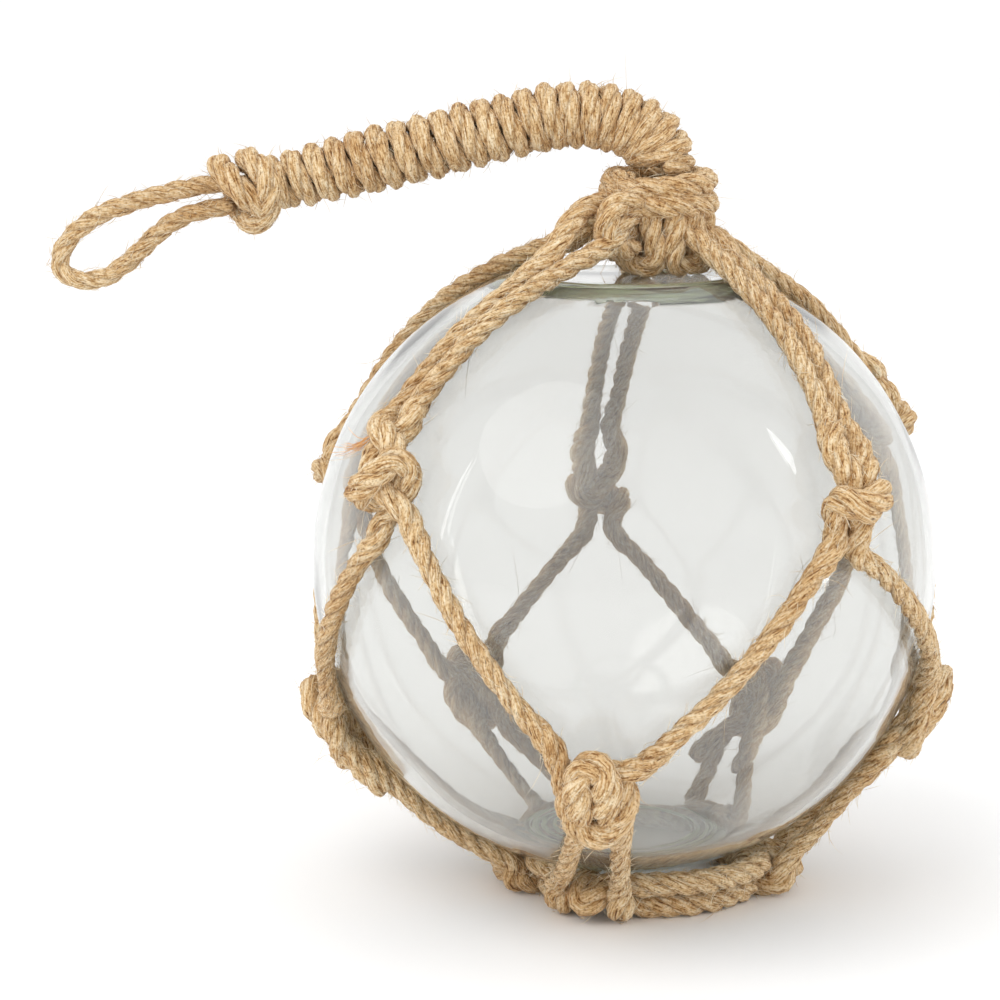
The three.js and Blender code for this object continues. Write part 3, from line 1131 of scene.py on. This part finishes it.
# Loose rope ends that come out from under a knot, by the number of the lower knot that holds them.
TAILS = {
    3: [
        [
            (2, 2, 3, 0.9), (5, 9, 5, 1), (8.5, 16, 4, 1), (11, 23, 2, 1), (12, 29, 1, 0.9),
            (12.2, 31, 1, 0.6),
        ],
        [
            (-2, 3, 3, 0.9), (-3, 10, 5, 1), (-5, 17, 5, 1), (-6, 24, 5, 1), (-6.2, 30, 5, 0.9),
            (-6.2, 32, 5, 0.6),
        ],
    ],
    5: [
        [
            (1, 0, 4, 0.9), (5, 6, 6, 1), (7.6, 12, 5.4, 1.05), (8.4, 18, 4.4, 1.05),
            (8.6, 23.5, 3.6, 1), (8.6, 26.5, 3.4, 0.7),
        ],
    ],
}
# Half of a hitch on the ring, as tangent, outward from the ring's rope, height and girth. It comes
# down outside, passes under the ring, up inside and over it, and ends in the middle of the front.
HALF_HITCH = [
    (-10.8, 9, 9.6, 1.1), (-10.4, 8, 5.8, 1.26), (-9.6, 4.2, 4, 1), (-8.4, 0, 2.9, 0.78),
    (-7.2, -4.4, 3.8, 0.78), (-6, -6.4, 7, 0.78), (-5, -4.2, 10.2, 0.78), (-4.4, 0, 11.1, 0.82),
    (-4, 5, 11, 1), (-3, 9.4, 9, 1.2), (0, 11, 6.4, 1.3),
]
# How a rope leaves the collar, as reach from its middle and height above the gathered net.
ARCHES = {
    "low": [(12, 4.5), (19, 0)],
    "raised": [(13.5, 10.5), (20.5, 8), (27.5, 1.2)],
    "high": [(14, 10.5), (23, 12), (31, 10), (38, 5), (44, -1.5)],
}


@dataclass
class UpperKnot:
    """An upper knot's style and shape, and how its left and right ropes leave the collar."""

    style: KnotStyle
    gather_longitude: float
    lean: float = 0.0
    flatness: float = 1.0
    breadth: float = 1.0
    arches: tuple[str, str] = ("low", "low")


@dataclass
class RopeNet:
    """Five ropes, each hitched to the ring by its middle and knotted to its neighbours."""

    rope: LaidRope = field(default_factory=LaidRope)
    uppers: Sequence[UpperKnot] = (
        UpperKnot(KnotStyle.CROSSED, -42, lean=-18, arches=("high", "raised")),
        UpperKnot(KnotStyle.STRAIGHT, 57, lean=14, breadth=0.78),
        UpperKnot(KnotStyle.CROSSED, 115, flatness=0.68),
        UpperKnot(KnotStyle.STRAIGHT, 181, flatness=0.85),
        UpperKnot(KnotStyle.CROSSED, 249, flatness=0.68, arches=("raised", "raised")),
    )
    lowers: Sequence[float] = (0.92, 0.62, 0.8, 0.8, 0.62)
    tufts: dict[int, Tuft] = field(
        default_factory=lambda: {0: Tuft((-6.0, -9.0, 5.0), (-27.0, -8.0, 6.0))}
    )
    pair_offset: float = 4.4 * MM
    gather_height: float = 211.5 * MM
    gather_girth: float = 0.95
    inside: Sequence[tuple[float, float]] = ((9.0, 5.0), (9.5, 12.0))
    inside_spread: float = 0.7
    inside_girth: float = 0.8
    seed: int = 40

    def build(
        self, former: Former, collar: "Collar", ring: "FootRing", finishes: Finishes
    ) -> list[bpy.types.Object]:
        """Ties the net.

        Args:
            former: the ball.
            collar: the collar that gathers the net.
            ring: the ring under the ball.
            finishes: rope and hair.

        Returns:
            The five ropes.
        """
        count = len(self.uppers)
        upper_seats = [
            KnotSeat(former, f"upper_knot_{i + 1}", knot.lean, knot.flatness, knot.breadth)
            for i, knot in enumerate(self.uppers)
        ]
        lower_seats = [
            KnotSeat(former, f"lower_knot_{i + 1}", flatness=flatness)
            for i, flatness in enumerate(self.lowers)
        ]
        ropes = []
        for index in range(count):
            after = (index + 1) % count
            down = self.from_collar(former, collar, index, upper_seats[index], HELD_ROPE, 1)
            foot = self.round_ring(ring, index)
            up = self.from_collar(former, collar, after, upper_seats[after], BAND_ROPE, -1)
            left = lower_seats[index].route(LEFT_ROPE)
            right = lower_seats[index].route(RIGHT_ROPE)
            route = chained(former, [down, left, foot, right[::-1], up[::-1]])
            tails = [lower_seats[index].route(tail) for tail in TAILS.get(index + 1, [])]
            name = f"net_rope_{index + 1}"
            tufts = []
            if index in self.tufts:
                rng = np.random.default_rng(self.seed)
                tufts.append(self.tufts[index].tubes(upper_seats[index], rng).wrapped(name))
            piece = shown(self.rope.mesh(name, [route, *tails], self.seed + index, tufts), finishes)
            number, following = index + 1, after + 1
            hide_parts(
                f"upper_leg_{number}b",
                f"upper_knot_{number}",
                f"cross_leg_{number}a",
                f"lower_knot_{number}",
                f"lower_leg_{number}a",
                f"bottom_hitch_{number}",
                f"lower_leg_{number}b",
                f"cross_leg_{number}b",
                f"upper_leg_{following}a",
            )
            ropes.append(piece)
        return ropes

    def from_collar(
        self, former: Former, collar: "Collar", index: int, seat: KnotSeat, ways: dict, side: int
    ) -> Rows:
        """Routes one rope from inside the collar through an upper knot.

        Args:
            former: the ball.
            collar: the collar.
            index: the upper knot's place in the net.
            seat: the upper knot.
            ways: the rope's points in the knot, by style.
            side: -1 for the left rope of the pair, 1 for the right one.

        Returns:
            Rows of x, y, z and girth.
        """
        knot = self.uppers[index]
        out = level_direction(knot.gather_longitude)
        across = np.array([-out[1], out[0], 0.0])

        def gathered(reach: float, height: float, spread: float, girth: float) -> list[float]:
            """Returns a point on the way out of the collar."""
            middle = np.array([collar.centre[0], collar.centre[1], height])
            return [*(middle + out * reach + across * side * spread * self.pair_offset), girth]

        way = [
            gathered(reach * MM, collar.top - depth * MM, self.inside_spread, self.inside_girth)
            for reach, depth in self.inside
        ]
        way += [
            gathered(reach * MM, self.gather_height + rise * MM, 1.0, self.gather_girth)
            for reach, rise in ARCHES[knot.arches[(side + 1) // 2]]
        ]
        return chained(former, [way, seat.route(ways[knot.style])])

    @staticmethod
    def round_ring(ring: "FootRing", index: int) -> Rows:
        """Routes the middle of a rope through its hitch on the ring."""
        out = level_direction(ring.hitches[index])
        across = np.array([-out[1], out[0], 0.0])
        bar = ring.centre + out * ring.radius

        def placed(tangent: float, reach: float, height: float, girth: float) -> list[float]:
            """Returns a point of the hitch."""
            spot = bar + (across * tangent + out * reach) * MM
            return [spot[0], spot[1], height * MM, girth]

        half = [placed(*row) for row in HALF_HITCH]
        other = [placed(-row[0], *row[1:]) for row in HALF_HITCH[-2::-1]]
        return [*half, *other]


def chained(former: Former, parts: Sequence[Rows]) -> Rows:
    """Joins routes by taut rope between each one's end and the next one's start."""
    route = list(parts[0])
    for part in parts[1:]:
        route += former.taut_way(np.array(route[-1]), np.array(part[0]))
        route += part
    return route


# ---------------------------------------------------------------- collar and ring


@dataclass
class Collar:
    """Two turns of rope round the gathered net, with the end brought down over its front."""

    rope: LaidRope = field(default_factory=LaidRope)
    turns: float = 2.15
    turn_drop: float = 7.3 * MM
    turn_wobble: float = 0.5 * MM
    level_share: float = 0.45
    start_angle: float = 200.0
    tuck_angle: float = 236.0
    # The bight's points: degrees past its angle, millimetres past the turns and up, and girth.
    tuck: Sequence[tuple[float, float, float, float]] = (
        (22, -4, 1, 0.8), (10, 4, 2.5, 0.95), (2, 10.5, 0.5, 1.0), (0, 14, -4.5, 1.05),
        (0, 13.5, -9, 1.05), (2, 8.5, -12.5, 0.95), (5, 0, -12.5, 0.85),
    )
    points_per_turn: int = 12
    neck_runs: int = 6
    neck_radius: float = 14.5 * MM
    neck_gap: float = 0.3 * MM
    seed: int = 61

    def __post_init__(self) -> None:
        """Finds the collar's place in the frame."""
        low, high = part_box("top_collar")
        self.centre = middle_of("top_collar") * (1, 1, 0)
        self.top = high[2]
        self.radius = (high[0] - low[0]) / 2 - self.rope.radius
        self.neck_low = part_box("glass_ball")[1][2] + self.rope.radius + self.neck_gap

    def point(self, angle: float, reach: float, height: float, girth: float = 1.0) -> list[float]:
        """Returns a point round the collar's axis, at an angle in degrees from +X."""
        turn = math.radians(angle)
        x, y = self.centre[0] + reach * math.cos(turn), self.centre[1] + reach * math.sin(turn)
        return [x, y, height, girth]

    def build(self, finishes: Finishes) -> bpy.types.Object:
        """Winds the collar.

        Args:
            finishes: rope and hair.

        Returns:
            The piece.
        """
        upper = self.top - self.rope.radius * 0.9
        lower = upper - self.turn_drop
        route = [
            self.point(self.start_angle - 70, self.radius * 0.55, lower - 2 * MM, 0.8),
            self.point(self.start_angle - 35, self.radius * 0.8, lower - 1 * MM, 0.9),
        ]
        steps = int(self.turns * self.points_per_turn)
        for index in range(steps + 1):
            share = index / self.points_per_turn
            rise = clamped(share - self.level_share)
            angle = self.start_angle + 360 * share
            wobble = self.turn_wobble * math.sin(2.3 * angle)
            route.append(self.point(angle, self.radius + wobble, lower + (upper - lower) * rise))
        tuck = [
            self.point(self.tuck_angle + angle, self.radius + out * MM, lower + rise * MM, girth)
            for angle, out, rise, girth in self.tuck
        ]
        neck = []
        for index in range(2 * self.neck_runs):
            angle = self.start_angle + 180 * index / self.neck_runs
            run = [
                self.point(angle - 3, self.neck_radius - 1 * MM, lower + 1 * MM, 0.9),
                self.point(angle, self.neck_radius, lower - 6 * MM, 0.95),
                self.point(angle + 3, self.neck_radius - 1 * MM, self.neck_low, 0.9),
            ]
            neck += run if index % 2 else run[::-1]
        piece = shown(self.rope.mesh("collar_rope", [route, tuck, neck], self.seed), finishes)
        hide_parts("top_collar")
        return piece


@dataclass
class FootRing:
    """The rope ring under the ball, pinched where the net is hitched to it. Its end lies over its start."""

    rope: LaidRope = field(default_factory=LaidRope)
    low: float = 3.9 * MM
    pinched: float = 7.2 * MM
    pinch_girth: float = 0.72
    half_pinch: float = 10.0
    pinch_reach: float = 2.2
    climb_from: float = 325.0
    climb_over: float = 35.0
    upper_height: float = 12.0 * MM
    upper_reach: float = 4.2 * MM
    upper_pinch_girth: float = 0.5
    first: float = -100.0
    last: float = 92.0
    step: float = 6.0
    seed: int = 71

    def __post_init__(self) -> None:
        """Finds the ring's and its hitches' places in the frame."""
        low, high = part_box("bottom_ring")
        self.centre = middle_of("bottom_ring") * (1, 1, 0)
        self.radius = (high[0] - low[0]) / 2 - self.rope.radius
        self.hitches = []
        for number in range(1, 6):
            away = middle_of(f"bottom_hitch_{number}") - self.centre
            self.hitches.append(math.degrees(math.atan2(away[0], -away[1])))

    def build(self, finishes: Finishes) -> bpy.types.Object:
        """Lays the ring: one turn on the floor, then on over it from the left hitch to the right one.

        Args:
            finishes: rope and hair.

        Returns:
            The piece.
        """
        route = []
        steps = round((360 + self.last - self.first) / self.step)
        for index in range(steps + 1):
            turn = self.first + self.step * index
            nearest = min(abs((turn - hitch + 180) % 360 - 180) for hitch in self.hitches)
            pinch = clamped(self.pinch_reach - nearest / self.half_pinch)
            pinch = pinch * pinch * (3 - 2 * pinch)
            climb = clamped((turn - self.first - self.climb_from) / self.climb_over)
            low = self.low + (self.pinched - self.low) * pinch
            height = low + (self.upper_height - low) * climb
            thin = 1 + (self.pinch_girth - 1) * pinch * (1 - climb)
            thin = thin + (self.upper_pinch_girth - 1) * pinch * climb
            spot = self.centre + level_direction(turn) * (self.radius + self.upper_reach * climb)
            route.append([spot[0], spot[1], height, thin])
        piece = shown(self.rope.mesh("ring_rope", [route], self.seed), finishes)
        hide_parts("bottom_ring")
        return piece


# ---------------------------------------------------------------- the handle


@dataclass
class Handle:
    """The handle rope with its hanging loop, the cord whipped round it and the knot at its end."""

    rope: LaidRope = field(default_factory=lambda: LaidRope(radius=3.1 * MM))
    knot_rope: LaidRope = field(default_factory=lambda: LaidRope(radius=3.75 * MM))
    whip: LaidRope = field(
        default_factory=lambda: LaidRope(
            radius=3.5 * MM, lay=28 * MM, strand_share=0.66, fuzz=Fuzz(per_metre=1800)
        )
    )
    pitch: float = 6.9 * MM
    whip_reach: float = 7.3 * MM
    whip_end_reach: float = 5.6 * MM
    taper_from: float = 0.78
    points_per_turn: int = 16
    knot_turns: Sequence[tuple[float, float, float, float]] = (
        (200, 2, 4, 0.9), (140, 6, 7, 0.95), (90, 6.5, 9, 1.05), (45, 4.5, 9.4, 1.12), (0, 0.5, 9.4, 1.15),
        (-45, -4, 8.6, 1.1), (-90, -5.5, 7, 1), (-135, -5, 7, 0.95), (-180, -4, 8, 1), (-225, -3, 8.4, 1.05),
        (-270, -2.5, 8.6, 1.1), (-315, -6, 9.2, 1.12), (-360, -8.6, 9.4, 1.15), (-405, -6.5, 9.8, 1.15),
        (-450, 0, 10.4, 1.15), (-495, 4.5, 9, 1.1), (-540, 5, 6, 1), (-580, 3, 4, 0.9),
    )
    side: float = -4.4 * MM
    seed: int = 81
    route: Sequence[tuple[float, float]] = (
        (11, 234.6), (11, 238), (8.2, 243), (2.4, 247.2), (-5.8, 250), (-17.1, 250.8), (-40.4, 246.4),
        (-63.2, 240.6), (-88, 234.7), (-102.1, 231.2), (-112.4, 228.7),
    )
    knot_way: tuple[float, float] = (-121, 228.6)
    loop: Sequence[tuple[float, float]] = (
        (-132, 228.7), (-138, 227.7), (-145, 226.1), (-152, 224.4), (-158.8, 222.4), (-165.3, 220),
        (-171.5, 216.6), (-176.8, 212.2), (-180.1, 207.3), (-180.7, 202.5), (-177.7, 199.1), (-172.3, 197.9),
        (-166, 199), (-160.3, 202.8), (-154.8, 207.6), (-149.2, 212.9), (-143.8, 216.9), (-138, 219.5),
        (-132, 220.9),
    )
    loop_end: tuple[float, float] = (-124, 222.5)
    line_step: float = 3 * MM

    def upright(self, points: Sequence[tuple[float, float]]) -> Rows:
        """Returns the rows of a route given as millimetres of x and z."""
        return [[x * MM, self.side, z * MM, 1.0] for x, z in points]

    def build_rope(self, finishes: Finishes) -> tuple[bpy.types.Object, bpy.types.Object, np.ndarray]:
        """Lays the handle rope, through the whipping and the end knot into the loop and back.

        Args:
            finishes: rope and hair.

        Returns:
            The rope, the hairs on it and the line it follows.
        """
        route = self.upright([*self.route, self.knot_way, *self.loop, self.loop_end])
        rope = shown(self.rope.bare_mesh("handle_rope", [route], self.seed), finishes[:1])
        fuzz = shown(self.rope.fuzz_mesh("handle_rope_fuzz", [route], self.seed), finishes[1:])
        return rope, fuzz, smooth_line(route, self.line_step)

    def build_whipping(self, finishes: Finishes) -> bpy.types.Object:
        """Winds the whipping cord round the handle."""
        line = smooth_line(self.upright(self.route), 1 * MM)
        heading = unit(np.gradient(line[:, :3], axis=0))
        rise = np.cross(heading, FRONT)
        run = distances_along(line[:, :3] + rise * self.whip_reach)
        turns = run[-1] / self.pitch
        route = []
        for share in np.linspace(0, 1, int(turns * self.points_per_turn) + 1):
            at = float(np.interp(share * run[-1], run, np.arange(len(run))))
            row = min(int(at), len(line) - 2)
            middle = line[row, :3] + (line[row + 1, :3] - line[row, :3]) * (at - row)
            narrow = max(0.0, (share - self.taper_from) / (1 - self.taper_from))
            reach = self.whip_reach + (self.whip_end_reach - self.whip_reach) * narrow
            turn = 2 * math.pi * turns * share
            spot = middle + reach * (math.cos(turn) * FRONT + math.sin(turn) * rise[row])
            route.append([*spot, 1.0])
        piece = shown(self.whip.mesh("handle_whipping", [route], self.seed + 1), finishes)
        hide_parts("handle_grip")
        return piece

    def build_end_knot(self, finishes: Finishes) -> bpy.types.Object:
        """Ties the knot between the whipping and the loop: two slanting turns that meet below."""
        centre = middle_of("handle_end_knot")
        (x, z), (end_x, end_z) = self.route[-2:]
        ahead = unit(np.array([end_x - x, 0.0, end_z - z]))
        rise = np.array([ahead[2], 0.0, -ahead[0]])
        route = []
        for degrees, slide, reach, girth in self.knot_turns:
            angle = math.radians(degrees)
            out = math.cos(angle) * FRONT + math.sin(angle) * rise
            spot = centre + (ahead * slide + reach * out) * MM
            route.append([*spot, girth])
        piece = shown(self.knot_rope.mesh("end_knot", [route], self.seed + 2), finishes)
        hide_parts("handle_end_knot")
        return piece

    def build(self, finishes: Finishes) -> None:
        """Makes the handle.

        Args:
            finishes: rope and hair.
        """
        rope, fuzz, line = self.build_rope(finishes)
        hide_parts("hanging_loop")
        whipping = self.build_whipping(finishes)
        knot = self.build_end_knot(finishes)


# ---------------------------------------------------------------- studio


@dataclass
class Softbox:
    """One soft lamp, aimed at the ball."""

    name: str
    place: tuple[float, float, float]
    width: float
    height: float
    watts: float
    mirrored: bool = True

    def build(self, aim: np.ndarray) -> None:
        """Adds the lamp, aimed at a point."""
        data = bpy.data.lights.new(self.name, "AREA")
        data.shape = "ELLIPSE"
        data.size = self.width
        data.size_y = self.height
        data.energy = self.watts
        lamp = bpy.data.objects.new(self.name, data)
        lamp.location = self.place
        lamp.visible_glossy = self.mirrored
        lamp.rotation_euler = (Vector(aim) - Vector(self.place)).to_track_quat("-Z", "Y").to_euler()
        bpy.context.scene.collection.objects.link(lamp)


@dataclass
class Studio:
    """The camera, the soft lamps, the pale surround and the floor."""

    distance: float = 0.9
    elevation: float = 11.0
    lens: float = 100.14
    sensor: float = 36.0
    nearest: float = 0.01
    aim_left: float = 2.573
    aim_up: float = 1.24
    surround: float = 1.04
    floor_radius: float = 14.0
    floor_sides: int = 96
    lamps: Sequence[Softbox] = (
        Softbox("key_light", (-1.2, -1.3, 2.2), 2.4, 2.4, 24.0, mirrored=False),
        Softbox("strip_light", (1.3, -0.35, 0.55), 0.10, 1.4, 1.6),
        Softbox("left_strip_light", (-1.38, -0.56, 0.50), 0.035, 1.1, 0.28),
    )

    def build_camera(self, aim: np.ndarray) -> None:
        """Sets the camera.

        Args:
            aim: the ball's centre.
        """
        data = bpy.data.cameras.new("camera")
        data.lens = self.lens
        data.sensor_width = self.sensor
        data.clip_start = self.nearest
        camera = bpy.data.objects.new("camera", data)
        tilt = math.radians(self.elevation)
        back = Vector((0.0, -math.cos(tilt), math.sin(tilt)))
        camera.location = Vector(aim) + back * self.distance
        camera.rotation_euler = (
            math.radians(90 - self.elevation + self.aim_up),
            0.0,
            math.radians(self.aim_left),
        )
        bpy.context.scene.collection.objects.link(camera)
        bpy.context.scene.camera = camera

    def build_lights(self, aim: np.ndarray) -> None:
        """Adds the lamps and the pale surround.

        Args:
            aim: the ball's centre.
        """
        for lamp in self.lamps:
            lamp.build(aim)
        world = bpy.data.worlds.new("surround")
        world.use_nodes = True
        background = world.node_tree.nodes["Background"]
        background.inputs["Color"].default_value = WHITE
        background.inputs["Strength"].default_value = self.surround
        bpy.context.scene.world = world
        bpy.context.scene.view_settings.view_transform = "Standard"

    def build_floor(self, finish: bpy.types.Material) -> None:
        """Lays the wide round floor.

        Args:
            finish: the floor's material.
        """
        bm = bmesh.new()
        bmesh.ops.create_circle(bm, cap_ends=True, segments=self.floor_sides, radius=self.floor_radius)
        mesh = as_mesh("floor", bm)
        mesh.materials.append(finish)
        floor = bpy.data.objects.new("floor", mesh)
        bpy.context.scene.collection.objects.link(floor)


def main() -> None:
    """Builds the float ball and its studio."""
    logging.basicConfig(level=logging.INFO, format="%(name)s %(message)s")
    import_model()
    glass = GlassBall()
    former = glass.former()
    studio = Studio()
    studio.build_camera(former.centre)
    finishes = [JuteFinish().make(), HairFinish().make()]
    frayed = HairFinish("frayed_yarn", linear(238, 190, 132), linear(212, 146, 86)).make()
    Handle().build(finishes)
    collar = Collar()
    collar.build(finishes)
    ring = FootRing()
    ring.build(finishes)
    RopeNet().build(former, collar, ring, [*finishes, frayed])
    glass.build(former, GlassFinish().make())
    streaks = WispFinish().make()
    for wisps in glass.wisps():
        wisps.build(former, streaks)
    studio.build_lights(former.centre)
    studio.build_floor(StageFinish().make())


if __name__ == "__main__":
    main()
